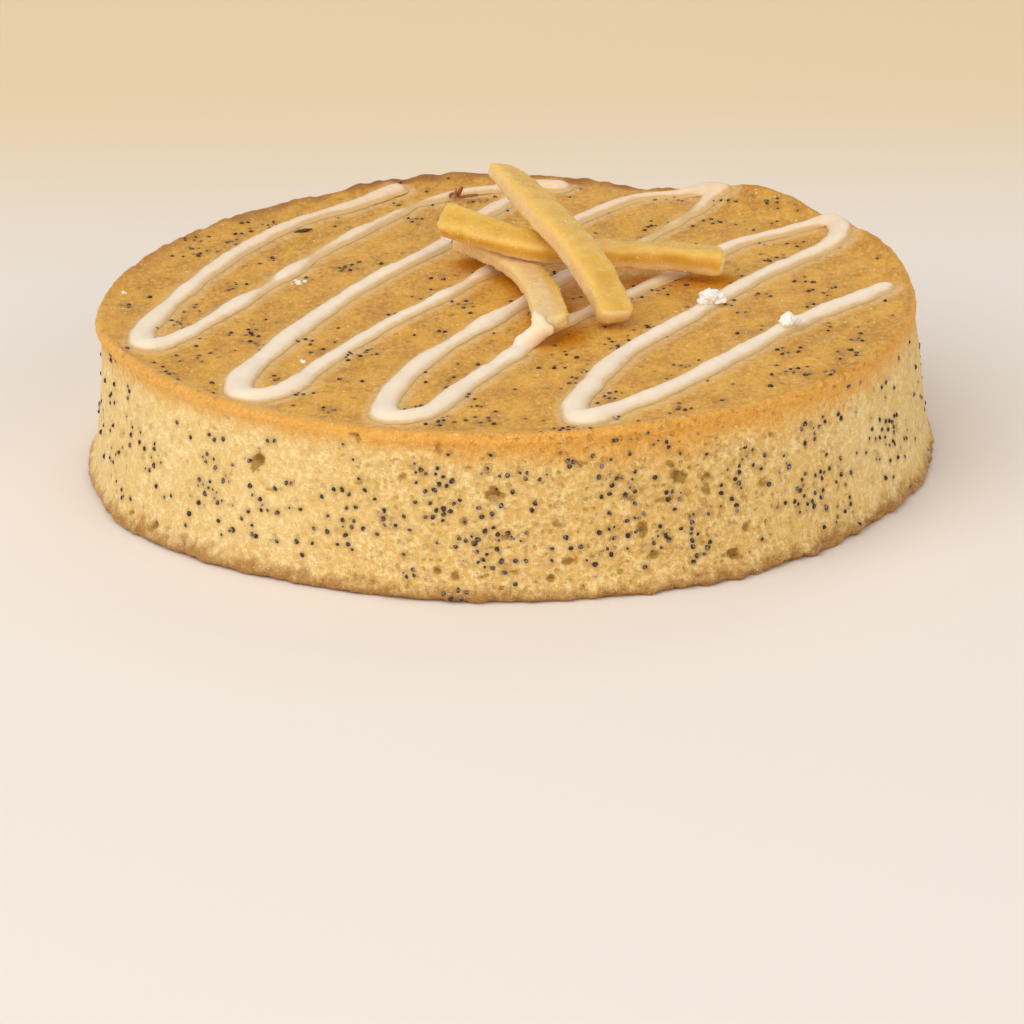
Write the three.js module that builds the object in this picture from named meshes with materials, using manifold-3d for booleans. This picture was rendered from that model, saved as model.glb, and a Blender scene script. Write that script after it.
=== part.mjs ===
// A round lemon poppy seed cake, baked in a plain tin and turned out: a pale porous side full of seeds,
// a browned top with a soft lip, a zigzag of thick white icing poured over it, and three strips of candied
// lemon peel piled near its middle. Millimetres, Z up, origin at the centre of the flat base.
// The drizzle, its crumbs and the seeds are joined to the cake; each peel strip is a solid of its own.
import * as THREE from "three";
import { mergeVertices } from "three/addons/utils/BufferGeometryUtils.js";
import Module from "manifold-3d";

const wasm = await Module();
wasm.setup();

// Driving dimensions of the cake.
const BASE_RADIUS = 100;
const NECK_RADIUS = 95.2;
const RIM_RADIUS = 95.9;
const HEIGHT = 38;
const FOOT_RISE = 2.6;
const LIP_DEPTH = 0.7;
const CAKE_SEGMENTS = 72;

// How the rim rises and dips and how the foot bulges: [angle in degrees, millimetres, half width in degrees].
const RIM_LIFTS = [
  [103, 1.7, 13], [69, -1.6, 6], [48, 3.2, 8.5], [20, 2.0, 13], [150, -0.3, 20], [-155, 0.5, 10],
];
const RIM_BULGES = [[47, 1.6, 12], [10, 0.4, 14], [-172, 1.2, 10], [-60, -0.9, 12]];
const FOOT_BULGES = [[-152, 1.6, 9], [-117, -1.9, 14], [-62, 1.2, 14]];
const WALL_WAVE = 0.35;
const FLAT_RADIUS = 80;

// The icing in three pours that meet in thick lobes at the back: [x, y, width] along each middle line.
const DRIZZLE = [
  [
    [-26, 87, 6.4], [-38, 75.5, 5], [-51, 63.5, 4.8], [-63, 44.5, 5], [-72.5, 22, 5], [-81, -3, 5.2],
    [-85, -20.5, 5.8], [-83, -29, 7], [-77, -23.5, 5.4],
    [-66, -3.5, 4], [-54, 19.5, 4], [-45.5, 38.5, 4], [-33, 59, 4], [-23, 74.5, 2.6],
    [-16.5, 80, 4.4], [-9, 84.5, 4.4], [0, 87, 5.2], [7, 88, 7], [18, 86, 7.6],
  ],
  [
    [6, 85.5, 5.4], [-5.5, 66, 4.8], [-16, 42, 4.8], [-29.5, 21, 4.8], [-42.5, -4.5, 5.2],
    [-53.5, -31, 5.8], [-61, -54.5, 6.4], [-59, -65, 7.6], [-52, -62.5, 6.4],
    [-42, -42, 4.4], [-27.5, -15, 4], [-14.5, 4.5, 4.4], [-5, 21, 4.2], [6, 40, 4.4], [18, 61, 4.6],
    [34, 78, 5], [43, 79, 5.6], [56, 75, 7],
  ],
  [
    [51.5, 75.5, 5.2], [47.5, 67, 4.2], [41.5, 58, 3], [36.5, 52.5, 3], [30, 39, 2.8], [12.5, 14.5, 4],
    [2, -5, 4.6], [-10.5, -25.5, 5], [-21.5, -47.5, 5.2], [-28, -73, 6], [-26.5, -81, 7.2], [-19, -78.5, 6.2],
    [-10.5, -61, 5], [0, -41, 4.8], [8.5, -23, 4.8], [19.5, -10, 4.4], [33, 6.5, 4.2], [43, 19, 4.4],
    [51, 33, 4.6], [56.5, 39.5, 5], [66, 46, 5], [78.5, 51.5, 6.4], [81, 46, 6.2], [79.5, 37.5, 5.8],
    [72, 28.5, 5.4], [58, 11, 4.8], [40.5, -17.5, 5], [26, -40.5, 5.4], [17.5, -63.5, 5.8],
    [14, -77, 6.4], [16, -85, 7.2], [23, -79, 6],
    [36.5, -64, 5.4], [50, -45.5, 5.2], [63.5, -25.5, 5.2], [74.5, -12.5, 5.6], [83.5, -3, 5.8], [92, 5, 6],
  ],
];
const ICING_RISE = 0.4;
const ICING_SINK = 0.9;
const ICING_STEP = 7;
const ICING_TURN = 28;

// Crumbs of set icing on the drizzle and beside it: [x, y, size, height of the middle above the top].
const ICING_CRUMBS = [
  [47, -7.6, 4.2, 2.4], [49.2, -7.6, 3.2, 1.8], [45.4, -9.2, 2.6, 1.8], [64.2, -26.6, 3.8, 2.4],
  [66, -25.4, 2.4, 1.9],
];

// Open pores that show in the side: [angle in degrees, height, width, tallness, depth].
const LARGE_PORES = [
  [-126.4, 27, 3.2, 4, 2.2], [-92.3, 24, 4.4, 3.4, 2.4], [-67.8, 25.5, 3.4, 3.2, 2.2],
  [-73.1, 14.1, 1.8, 4.8, 1.6], [-60.5, 5.6, 4.4, 2.6, 1.6], [-111, 36.4, 2.6, 1.8, 1.4],
  [-104.8, 27.4, 2.2, 2, 1.2], [-100.1, 6.7, 3, 2.2, 1.2],
];
const SMALL_PORES = 14;
const SMALL_PORE_SIZE = [1.4, 3];

// Poppy seeds that stand out of the surface.
const SEED_LENGTH = 1.3;
const SEED_WIDTH = 1.0;
const SIDE_SEEDS = 58;
const TOP_SEEDS = 22;

// Candied peel: each strip's middle line as points, then its width, thickness and roll in degrees, each given
// at even shares of its length.
const PEEL_STRIPS = {
  peel_strip_curved: {
    line: [
      [-10.4, 31.8, 41.8], [-4.9, 24.6, 41.8], [2, 13, 41.8], [6.7, -1.8, 41.8], [8.7, -15, 41.8],
      [9.6, -25.9, 41.8], [9.6, -33.4, 41.9],
    ],
    width: [7.6, 7.6, 7.8, 8], thickness: [4, 4], roll: [0, 0, 4, 10],
  },
  peel_strip_long: {
    line: [
      [-15, 25.3, 49.5], [-8.7, 20.3, 48.9], [1.5, 12.4, 47.8], [9.3, 9.3, 46.7], [22.7, 10.1, 44.9],
      [31.7, 11.6, 43.7], [38.5, 12.9, 42.9], [46.3, 11.7, 42.3], [50.8, 10.5, 42],
    ],
    width: [8, 7.4, 7, 7, 7.2], thickness: [5.4, 5.2, 5.2, 5.8, 6], roll: [34, 26, 8, 2, 2],
  },
  peel_strip_leaning: {
    line: [
      [24.6, -22.7, 40.4], [22.8, -16, 43.2], [20.1, -9.3, 46.5], [16.5, -1, 49.8], [11, 9.1, 53.2],
      [4.6, 23.8, 56.1], [-0.4, 34.2, 57.8],
    ],
    width: [8.4, 9, 9.2, 8.8, 8], thickness: [5.2, 5.6, 5.6, 5.2], roll: [4, 6, 8, 10, 14],
  },
};
const PEEL_SECTION_POINTS = 10;
const PEEL_STEPS = 14;
const PEEL_SQUARENESS = 3.4;

const CAKE_MATERIAL = new THREE.MeshStandardMaterial({ color: 0xd9b26a, roughness: 0.75, metalness: 0 });
const PEEL_MATERIAL = new THREE.MeshStandardMaterial({ color: 0xe0b44a, roughness: 0.45, metalness: 0 });

const radians = THREE.MathUtils.degToRad;

// A repeatable draw between 0 and 1.
function seededDraw(state) {
  return () => {
    state = (state * 1664525 + 1013904223) % 4294967296;
    return state / 4294967296;
  };
}

// The sum of soft bumps round the cake at one angle, in millimetres.
function bumpsAt(bumps, angle) {
  let sum = 0;
  for (const [centre, size, halfWidth] of bumps) {
    const away = Math.atan2(Math.sin(angle - radians(centre)), Math.cos(angle - radians(centre)));
    sum += size * Math.exp(-((away / radians(halfWidth)) ** 2));
  }
  return sum;
}

// How far the side stands out of its smooth form.
function wallWave(angle, z) {
  const slow = Math.sin(3 * angle + 0.8) + 0.7 * Math.sin(7 * angle + 1.9);
  return WALL_WAVE * (slow + 0.6 * Math.sin(11 * angle + 0.4) * Math.sin(z / 6));
}

// A value read between numbers given at even shares of a length.
function between(values, share) {
  const row = share * (values.length - 1);
  const before = Math.min(Math.floor(row), values.length - 2);
  return THREE.MathUtils.lerp(values[before], values[before + 1], row - before);
}

// The closed mesh of a geometry as a solid, with shared corners merged and collapsed faces dropped.
function solidOf(geometry) {
  const bare = new THREE.BufferGeometry();
  bare.setAttribute("position", geometry.getAttribute("position"));
  bare.setIndex(geometry.getIndex());
  const merged = mergeVertices(bare, 1e-4);
  const index = merged.getIndex().array;
  const kept = [];
  for (let i = 0; i < index.length; i += 3) {
    const [a, b, c] = [index[i], index[i + 1], index[i + 2]];
    if (a !== b && b !== c && c !== a) kept.push(a, b, c);
  }
  return new wasm.Manifold(new wasm.Mesh({
    numProp: 3,
    vertProperties: new Float32Array(merged.getAttribute("position").array),
    triVerts: new Uint32Array(kept),
  }));
}

// The triangles of a solid as a geometry.
function geometryOf(solid) {
  const mesh = solid.getMesh();
  const geometry = new THREE.BufferGeometry();
  const corners = new Float32Array(mesh.numVert * 3);
  for (let i = 0; i < mesh.numVert; i++) {
    corners.set(mesh.vertProperties.subarray(i * mesh.numProp, i * mesh.numProp + 3), i * 3);
  }
  geometry.setAttribute("position", new THREE.BufferAttribute(corners, 3));
  geometry.setIndex(new THREE.BufferAttribute(mesh.triVerts, 1));
  geometry.computeVertexNormals();
  return geometry;
}

// A closed body through rings of equal count, with a fan over each end.
function loft(rings) {
  const count = rings[0].length;
  const corners = rings.flat().flatMap((p) => [p.x, p.y, p.z]);
  const faces = [];
  for (let r = 0; r + 1 < rings.length; r++) {
    for (let k = 0; k < count; k++) {
      const next = (k + 1) % count;
      const [a, b, c, d] = [r * count + k, r * count + next, (r + 1) * count + next, (r + 1) * count + k];
      faces.push(a, b, c, a, c, d);
    }
  }
  for (const [ring, turned] of [[0, true], [rings.length - 1, false]]) {
    const centre = rings[ring].reduce((sum, p) => sum.add(p), new THREE.Vector3()).divideScalar(count);
    const hub = corners.length / 3;
    corners.push(centre.x, centre.y, centre.z);
    for (let k = 0; k < count; k++) {
      const [a, b] = [ring * count + k, ring * count + ((k + 1) % count)];
      faces.push(...(turned ? [hub, b, a] : [hub, a, b]));
    }
  }
  const geometry = new THREE.BufferGeometry();
  geometry.setAttribute("position", new THREE.Float32BufferAttribute(corners, 3));
  geometry.setIndex(faces);
  return geometry;
}

// The cake without seeds, pores or icing: a turned profile, then its rim, foot and side made uneven.
function bareCake() {
  const profile = [
    [0, 0], [BASE_RADIUS - 1.4, 0], [BASE_RADIUS - 0.3, 0.7], [BASE_RADIUS, 1.7],
    [BASE_RADIUS - 0.5, FOOT_RISE],
    [98.6, 4.2], [98, 8], [97.3, 13], [96.7, 18], [96.1, 23], [95.6, 28], [NECK_RADIUS, 32],
    [NECK_RADIUS + 0.1, 34.4], [RIM_RADIUS, 36.3], [RIM_RADIUS - 0.4, 37.5], [RIM_RADIUS - 1.5, HEIGHT],
    [RIM_RADIUS - 3.2, HEIGHT - 0.3], [RIM_RADIUS - 6, HEIGHT - LIP_DEPTH],
    [FLAT_RADIUS, HEIGHT - LIP_DEPTH], [0, HEIGHT - LIP_DEPTH],
  ];
  const geometry = new THREE.LatheGeometry(profile.map(([r, z]) => new THREE.Vector2(r, z)), CAKE_SEGMENTS);
  geometry.rotateX(Math.PI / 2);
  const position = geometry.getAttribute("position");
  for (let i = 0; i < position.count; i++) {
    const [x, y, z] = [position.getX(i), position.getY(i), position.getZ(i)];
    const radius = Math.hypot(x, y);
    const angle = Math.atan2(y, x);
    const up = THREE.MathUtils.clamp(z / HEIGHT, 0, 1);
    const outer = THREE.MathUtils.smoothstep(radius, FLAT_RADIUS, RIM_RADIUS - 1.5);
    const swell = outer * (bumpsAt(FOOT_BULGES, angle) * (1 - up) ** 2 + bumpsAt(RIM_BULGES, angle) * up ** 3)
      + outer * 4 * up * (1 - up) * wallWave(angle, z);
    const grown = radius > 0 ? (radius + swell) / radius : 1;
    const lift = up ** 4 * outer * bumpsAt(RIM_LIFTS, angle);
    position.setXYZ(i, x * grown, y * grown, Math.max(0, z + lift));
  }
  return geometry;
}

// Where a straight line from outside meets the bare cake, with the face's own normal.
const caster = new THREE.Raycaster();
let bareMesh;
function surfaceAt(from, towards) {
  caster.set(from, towards.clone().normalize());
  const hit = caster.intersectObject(bareMesh)[0];
  return { point: hit.point, normal: hit.face.normal.clone() };
}

function sideAt(angle, z) {
  const outward = new THREE.Vector3(Math.cos(angle), Math.sin(angle), 0);
  return surfaceAt(outward.clone().multiplyScalar(2 * BASE_RADIUS).setZ(z), outward.clone().negate());
}

function topAt(x, y) {
  return surfaceAt(new THREE.Vector3(x, y, 2 * HEIGHT), new THREE.Vector3(0, 0, -1));
}

// Stations along one pour: close together at its ends and where it turns, far apart where it runs straight.
function pourStations(rows) {
  const points = rows.map(([x, y]) => new THREE.Vector3(x, y, 0));
  const middle = new THREE.CatmullRomCurve3(points, false, "centripetal");
  const widths = rows.map((row) => row[2]);
  const length = middle.getLength();
  const stations = [];
  for (let gone = 0; gone <= length; gone += 0.5) {
    const t = middle.getUtoTmapping(gone / length);
    const half = between(widths, t) / 2;
    const toEnd = Math.min(gone, length - gone) / half;
    const rounded = Math.sqrt(1 - (1 - Math.min(toEnd, 1)) ** 2);
    const station = { point: middle.getPoint(t), ahead: middle.getTangent(t), half: half * rounded };
    const last = stations[stations.length - 1];
    const step = last ? last.point.distanceTo(station.point) : Infinity;
    const turned = last ? last.ahead.angleTo(station.ahead) : 0;
    const furthest = toEnd < 1 ? 0.45 * half : ICING_STEP;
    if (toEnd > 0.05 && (step >= furthest || turned >= radians(ICING_TURN))) stations.push(station);
  }
  return stations;
}

// One pour of icing: a ribbon of domed section that follows the top, its inner edge held back in tight turns.
function pour(rows) {
  const stations = pourStations(rows);
  const rings = stations.map(({ point, ahead, half }, s) => {
    const left = new THREE.Vector3(-ahead.y, ahead.x, 0).normalize();
    const [back, fore] = [stations[Math.max(s - 1, 0)], stations[Math.min(s + 1, stations.length - 1)]];
    const bend = back.ahead.x * fore.ahead.y - back.ahead.y * fore.ahead.x;
    const turned = Math.max(back.ahead.angleTo(fore.ahead), 1e-3);
    const room = 0.8 * back.point.distanceTo(fore.point) / (2 * Math.sin(0.5 * turned));
    const rise = 2 * half * ICING_RISE;
    const floor = topAt(point.x, point.y).point.z;
    const across = [[1, -ICING_SINK], [0.8, 0.6 * rise], [0.25, rise], [-0.25, rise], [-0.8, 0.6 * rise],
      [-1, -ICING_SINK]];
    return across.map(([side, up]) => {
      const reach = side * (side * bend > 0 ? Math.min(half, room) : half);
      return point.clone().addScaledVector(left, reach).setZ(floor + up);
    });
  });
  return solidOf(loft(rings));
}

// A small faceted lump, such as a seed, a crumb or the inside of a pore, laid on a surface.
function lump(place, along, across, deep, offset, turn, detail = 0) {
  const geometry = new THREE.IcosahedronGeometry(0.5, detail);
  geometry.scale(along, across, deep);
  geometry.rotateZ(turn);
  const facing = new THREE.Quaternion().setFromUnitVectors(new THREE.Vector3(0, 0, 1), place.normal);
  geometry.applyQuaternion(facing);
  const centre = place.point.clone().addScaledVector(place.normal, offset);
  geometry.translate(centre.x, centre.y, centre.z);
  return solidOf(geometry);
}

// The pores to cut out of the side: the large ones by hand, small ones spread at random.
function pores() {
  const draw = seededDraw(71);
  const rows = [...LARGE_PORES];
  const [smallest, largest] = SMALL_PORE_SIZE;
  for (let i = 0; i < SMALL_PORES; i++) {
    const size = smallest + (largest - smallest) * draw() ** 2;
    const angle = (360 / SMALL_PORES) * (i + 0.8 * draw());
    rows.push([angle, 7 + 24 * draw(), size, size * (0.7 + 0.7 * draw()), size * 0.6]);
  }
  return rows.map(([angle, z, wide, tall, deep], i) => {
    const place = sideAt(radians(angle), z);
    place.normal.setZ(0).normalize();
    const geometry = new THREE.IcosahedronGeometry(0.5, i < LARGE_PORES.length ? 1 : 0);
    geometry.scale(2 * deep, wide, tall);
    geometry.rotateZ(Math.atan2(place.normal.y, place.normal.x));
    geometry.translate(place.point.x, place.point.y, place.point.z);
    return solidOf(geometry);
  });
}

// Seeds in the side and the top, spread by the golden angle so that none of it is bare.
function seeds() {
  const draw = seededDraw(29);
  const golden = Math.PI * (3 - Math.sqrt(5));
  const made = [];
  for (let i = 0; i < SIDE_SEEDS; i++) {
    const z = 3.6 + 31.5 * ((i * 0.618034 + 0.12 * draw()) % 1);
    const angle = (2 * Math.PI * (i + 0.7 * draw())) / SIDE_SEEDS;
    made.push(lump(sideAt(angle, z), SEED_LENGTH, SEED_WIDTH, SEED_WIDTH, 0.08, Math.PI * draw()));
  }
  for (let i = 0; i < TOP_SEEDS; i++) {
    const radius = 90 * Math.sqrt((i + 0.5) / TOP_SEEDS);
    const angle = i * golden + 0.2 * draw();
    const place = topAt(radius * Math.cos(angle), radius * Math.sin(angle));
    made.push(lump(place, SEED_LENGTH, SEED_WIDTH, SEED_WIDTH, 0.02, Math.PI * draw()));
  }
  return made;
}

// The crumbs of set icing.
function icingCrumbs() {
  return ICING_CRUMBS.map(([x, y, size, height], i) => {
    const place = { point: topAt(x, y).point, normal: new THREE.Vector3(0, 0, 1) };
    return lump(place, size, 0.85 * size, 0.8 * size, height, i);
  });
}

function cakeSolid() {
  const bare = bareCake();
  bareMesh = new THREE.Mesh(bare, CAKE_MATERIAL);
  const cut = wasm.Manifold.union(pores());
  const added = wasm.Manifold.union([...DRIZZLE.map(pour), ...seeds(), ...icingCrumbs()]);
  const whole = solidOf(bare).subtract(cut).add(added);
  return whole.decompose().sort((a, b) => b.volume() - a.volume())[0];
}

// One strip of peel: a rounded rectangle carried along its line, rolling a little, with blunt ends.
function peelStrip({ line, width, thickness, roll }) {
  const middle = new THREE.CatmullRomCurve3(line.map((p) => new THREE.Vector3(...p)), false, "centripetal");
  const rings = [];
  for (let s = 0; s <= PEEL_STEPS; s++) {
    const share = s / PEEL_STEPS;
    const point = middle.getPointAt(share);
    const ahead = middle.getTangentAt(share).normalize();
    const side = new THREE.Vector3().crossVectors(ahead, new THREE.Vector3(0, 0, 1)).normalize();
    side.applyAxisAngle(ahead, radians(between(roll, share)));
    const up = new THREE.Vector3().crossVectors(side, ahead);
    const blunt = s === 0 || s === PEEL_STEPS ? 0.88 : 1;
    const halfWidth = 0.5 * blunt * between(width, share);
    const halfThickness = 0.5 * blunt * between(thickness, share);
    const ring = [];
    for (let k = 0; k < PEEL_SECTION_POINTS; k++) {
      const a = (2 * Math.PI * (k + 0.5)) / PEEL_SECTION_POINTS;
      const reach = (Math.abs(Math.cos(a)) ** PEEL_SQUARENESS + Math.abs(Math.sin(a)) ** PEEL_SQUARENESS)
        ** (-1 / PEEL_SQUARENESS);
      ring.push(point.clone()
        .addScaledVector(side, -halfWidth * reach * Math.cos(a))
        .addScaledVector(up, halfThickness * reach * Math.sin(a)));
    }
    rings.push(ring);
  }
  return geometryOf(solidOf(loft(rings)));
}

const cake = new THREE.Group();

const body = new THREE.Mesh(geometryOf(cakeSolid()), CAKE_MATERIAL);
body.name = "cake";
cake.add(body);

for (const [name, shape] of Object.entries(PEEL_STRIPS)) {
  const strip = new THREE.Mesh(peelStrip(shape), PEEL_MATERIAL);
  strip.name = name;
  cake.add(strip);
}

export default cake;
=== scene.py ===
"""Gives a round lemon poppy seed cake its looks: sponge, seeds, icing, crumbs and candied peel."""

import functools
import itertools
import math
import random

import bmesh
import bpy
import numpy as np
from bpy.props import FloatProperty, FloatVectorProperty, IntProperty, PointerProperty
from bpy.types import Operator, Panel, PropertyGroup
from mathutils import Euler, Matrix, Vector, noise
from mathutils.bvhtree import BVHTree
from mathutils.kdtree import KDTree


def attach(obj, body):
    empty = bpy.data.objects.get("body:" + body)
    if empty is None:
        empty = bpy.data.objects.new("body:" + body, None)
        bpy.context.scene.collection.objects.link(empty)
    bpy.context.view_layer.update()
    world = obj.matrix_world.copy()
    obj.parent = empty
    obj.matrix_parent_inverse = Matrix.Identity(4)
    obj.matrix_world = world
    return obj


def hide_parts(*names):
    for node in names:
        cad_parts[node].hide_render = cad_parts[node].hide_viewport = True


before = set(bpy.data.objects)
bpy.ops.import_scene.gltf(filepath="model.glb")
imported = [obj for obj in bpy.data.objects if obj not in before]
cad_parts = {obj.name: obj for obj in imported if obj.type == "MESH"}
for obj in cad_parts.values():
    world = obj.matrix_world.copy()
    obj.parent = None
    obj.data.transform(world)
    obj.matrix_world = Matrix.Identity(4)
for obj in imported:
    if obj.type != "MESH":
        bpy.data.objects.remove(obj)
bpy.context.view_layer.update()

bl_info = {
    "name": "Lemon poppy seed cake",
    "version": (1, 0, 0),
    "blender": (4, 5, 0),
    "location": "View3D > Sidebar > Cake",
    "description": "Builds the sponge, seeds, icing and candied peel of a lemon poppy seed cake",
    "category": "Add Mesh",
}

MM = 0.001

# The height of the sponge's lip, the radius at which its top ends, and that of its side half way up.
LIP_TOP = 38 * MM
RIM = 95 * MM
WALL = 97 * MM

# The sponge's outline as radius and height in millimetres, from the foot's edge up to the flat of the top.
SIDE_OUTLINE = [
    (98.6, 0), (99.7, 0.7), (100, 1.7), (99.5, 2.6), (98.6, 4.2), (98, 8), (97.3, 13), (96.7, 18), (96.1, 23),
    (95.6, 28), (95.2, 32), (95.3, 34.4), (95.9, 36.3), (95.5, 37.5), (94.4, 38), (92.7, 37.7), (89.9, 37.3),
]

# The steps along that outline and over the top, in millimetres, and the rings of the underside.
SIDE_STEP = 0.62
TOP_STEP = 1.3
UNDER_RINGS = 12

# How the rim rises and dips and how the foot bulges: angle in degrees, millimetres, half width in degrees.
RIM_LIFTS = [(103, 1.7, 13), (69, -1.6, 6), (48, 3.2, 8.5), (20, 2.0, 13), (150, -0.3, 20), (-155, 0.5, 10)]
RIM_BULGES = [(47, 1.6, 12), (2, -0.7, 15), (-172, 1.2, 10), (-60, -0.9, 12), (-130, -1.2, 18)]
FOOT_BULGES = [(-152, 1.6, 9), (-117, -1.9, 14), (-62, 1.2, 14), (0, -0.6, 15)]
WALL_WAVE = 0.35 * MM

# How much taller the browned band is, and how far it reaches in over the top, in the same terms.
BAND_TALLER = [(-127, -4.6, 40), (-72, 1.6, 18)]
BAND_INWARD = [(-132, 2.6, 22), (-95, 2.5, 28)]

# The angle in degrees at which the crumb of the side is most open.
OPEN_SIDE = -74

# Open pores in the side: angle in degrees, height, width, tallness and depth in millimetres.
LARGE_PORES = [
    (-126.4, 27, 3.2, 4, 2.2), (-92.3, 24, 4.4, 3.4, 2.4), (-67.8, 25.5, 3.4, 3.2, 2.2),
    (-73.1, 14.1, 1.8, 4.8, 1.6), (-60.5, 5.6, 4.4, 2.6, 1.6), (-111, 36.4, 2.6, 1.8, 1.4),
    (-104.8, 27.4, 2.2, 2, 1.2), (-100.1, 6.7, 3, 2.2, 1.2), (-71.8, 8.2, 3.4, 2, 1.2),
    (-76, 26, 2.2, 2.6, 1.1), (-64, 21.5, 2.2, 2.6, 1.2), (-84.5, 17.5, 2.6, 2, 1.1),
    (-96.5, 18.5, 2, 1.6, 1), (-55, 19, 2.4, 2, 1),
]

# How flat a pore's floor is: 2 is as round as a bowl, and more is flatter.
PORE_FLATNESS = 2.4

# The icing in three pours that meet in thick lobes at the back: x, y and width along each middle line.
POURS = [
    [
        (-27.4, 85.6, 6.2), (-38, 75.5, 5), (-51, 63.5, 4.8), (-63, 44.5, 5), (-70.4, 28, 5.4),
        (-72.4, 22.6, 4.3), (-76.2, 12, 5.3), (-77.8, 7.4, 4.4), (-81, -3, 5.2), (-85, -20.5, 5.8),
        (-83, -29, 7), (-77, -23.5, 5.4), (-70, -11.5, 3.8), (-63.4, 1.4, 5.6), (-60, 8, 3.4),
        (-55.6, 16.4, 3), (-52.2, 23.4, 5.8), (-48.6, 31.2, 3.3), (-43, 42.5, 3), (-37.6, 51.6, 5.6),
        (-33, 59, 3.5), (-26.5, 69, 3.6), (-22.8, 74.6, 1.4), (-20.6, 76.8, 2.8), (-16.5, 80, 4.4),
        (-9, 84.5, 4.4), (0, 87, 5.2), (7, 88, 7), (13, 87, 7.6),
    ],
    [
        (6, 85.5, 5.4), (-5.5, 66, 4.8), (-16, 42, 4.8), (-29.5, 21, 4.8), (-42.5, -4.5, 5.2),
        (-53.5, -31, 5.8), (-61, -54.5, 6.4), (-59, -65, 7.6), (-52, -62.5, 6.4), (-42, -42, 4.4),
        (-27.5, -15, 4), (-14.5, 4.5, 4.4), (-8.6, 14.6, 3.8), (-5, 21, 5.4), (6, 40, 4.4), (18, 61, 4.6),
        (34, 78, 5), (43, 79.4, 5.6), (50, 79.6, 6.6), (53.4, 77, 6.6),
    ],
    [
        (51.5, 75.5, 5.2), (47.5, 67, 4), (43.6, 60.3, 2), (41, 55.6, 3.6), (37, 49, 1.5), (33.5, 43.6, 3),
        (30, 38.5, 1.8), (24, 30, 2.8), (12.5, 14.5, 5), (2, -5, 4.2), (-6.2, -18.4, 5.5), (-8.6, -22.4, 4.4),
        (-21.5, -47.5, 5.2), (-28, -73, 6), (-26.5, -81, 7.2), (-19, -78.5, 6.2), (-10.5, -61, 5),
        (0, -41, 4.8), (8.5, -23, 4.8), (19.5, -9.6, 4.4), (33, 8, 4.2), (42.6, 20.2, 4.4), (51, 33, 4.6),
        (56.5, 39.5, 5), (66, 46, 5), (78.5, 51.5, 6.4), (81, 46, 6.2), (79.5, 37.5, 5.8), (72, 28.5, 5.4),
        (58, 11, 4.8), (40.5, -17.5, 5), (26, -40.5, 5.4), (17.5, -63.5, 5.8), (14, -77, 6.4), (16, -85, 7.2),
        (23, -79, 6), (36.5, -64, 5.4), (50, -45.5, 5.2), (63.5, -25.5, 5.2), (74.5, -12.5, 5.6),
        (82.5, -4.3, 5.2), (88.6, 2.4, 5.6),
    ],
]

# The thin hem under the pours: how much wider than they it is, how tall, and how far towards the front.
ICING_HEM = 2.2 * MM
HEM_HEIGHT = 0.84 * MM
HEM_AHEAD = 0.4 * MM

# Crumbs of set icing: x, y, size and height of the middle above the top.
ICING_CRUMBS = [
    (47, -7.6, 4.2, 2.4), (49.2, -7.6, 3.2, 1.8), (45.4, -9.2, 2.6, 1.8), (64.2, -26.6, 3.8, 2.4),
    (66, -25.4, 2.4, 1.9), (-46.9, -41.4, 1.5, -0.2), (-47.4, -40, 0.8, -0.1), (-49.6, 15.4, 1.4, 0.2),
    (-48.2, 16.6, 1, 0.2), (-50.4, 17.6, 0.8, 0.1), (-90.8, 11, 1.2, -0.15), (-13.6, 44, 2.2, 1.4),
    (-12, 42.6, 1.4, 1.3),
]

# Icing that climbs the side of the curved strip: x, y, height above the top and size.
ICING_SPUR = [
    (3, -34.5, 1, 4.2), (5.2, -33.6, 2, 4.6), (6.6, -33.4, 3.2, 4.4), (7.8, -33.6, 4.2, 3.8),
    (8.9, -33.6, 3.8, 3.2), (7.1, -32.4, 5, 3.8), (6.6, -31.2, 5.4, 3.2), (6.2, -29.8, 5.8, 2.3),
    (6.1, -28.4, 6.1, 1.6),
]

# A husk, a browned curl and crumbs: x, y, length, width, tallness, turn in degrees and darkness, 0 to 1.
FLECKS = [
    (-49.8, 56.2, 4.6, 2, 0.7, 8, 1.0), (-9.2, 78.4, 5.4, 1.6, 0.7, -4, 0.25),
    (-12.4, 79.6, 1.6, 0.9, 1.7, 60, 0.0), (-11.4, 80.2, 1.8, 0.6, 2.0, 20, 0.0),
    (-13.6, 78.8, 1.6, 0.8, 1.2, -40, 0.1), (-12.6, 78.2, 1.8, 0.8, 1.2, 95, 0.0),
]

# How much higher the pale ones lie, on the edge of the icing.
FLECK_RAISED = 1.1 * MM

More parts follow.
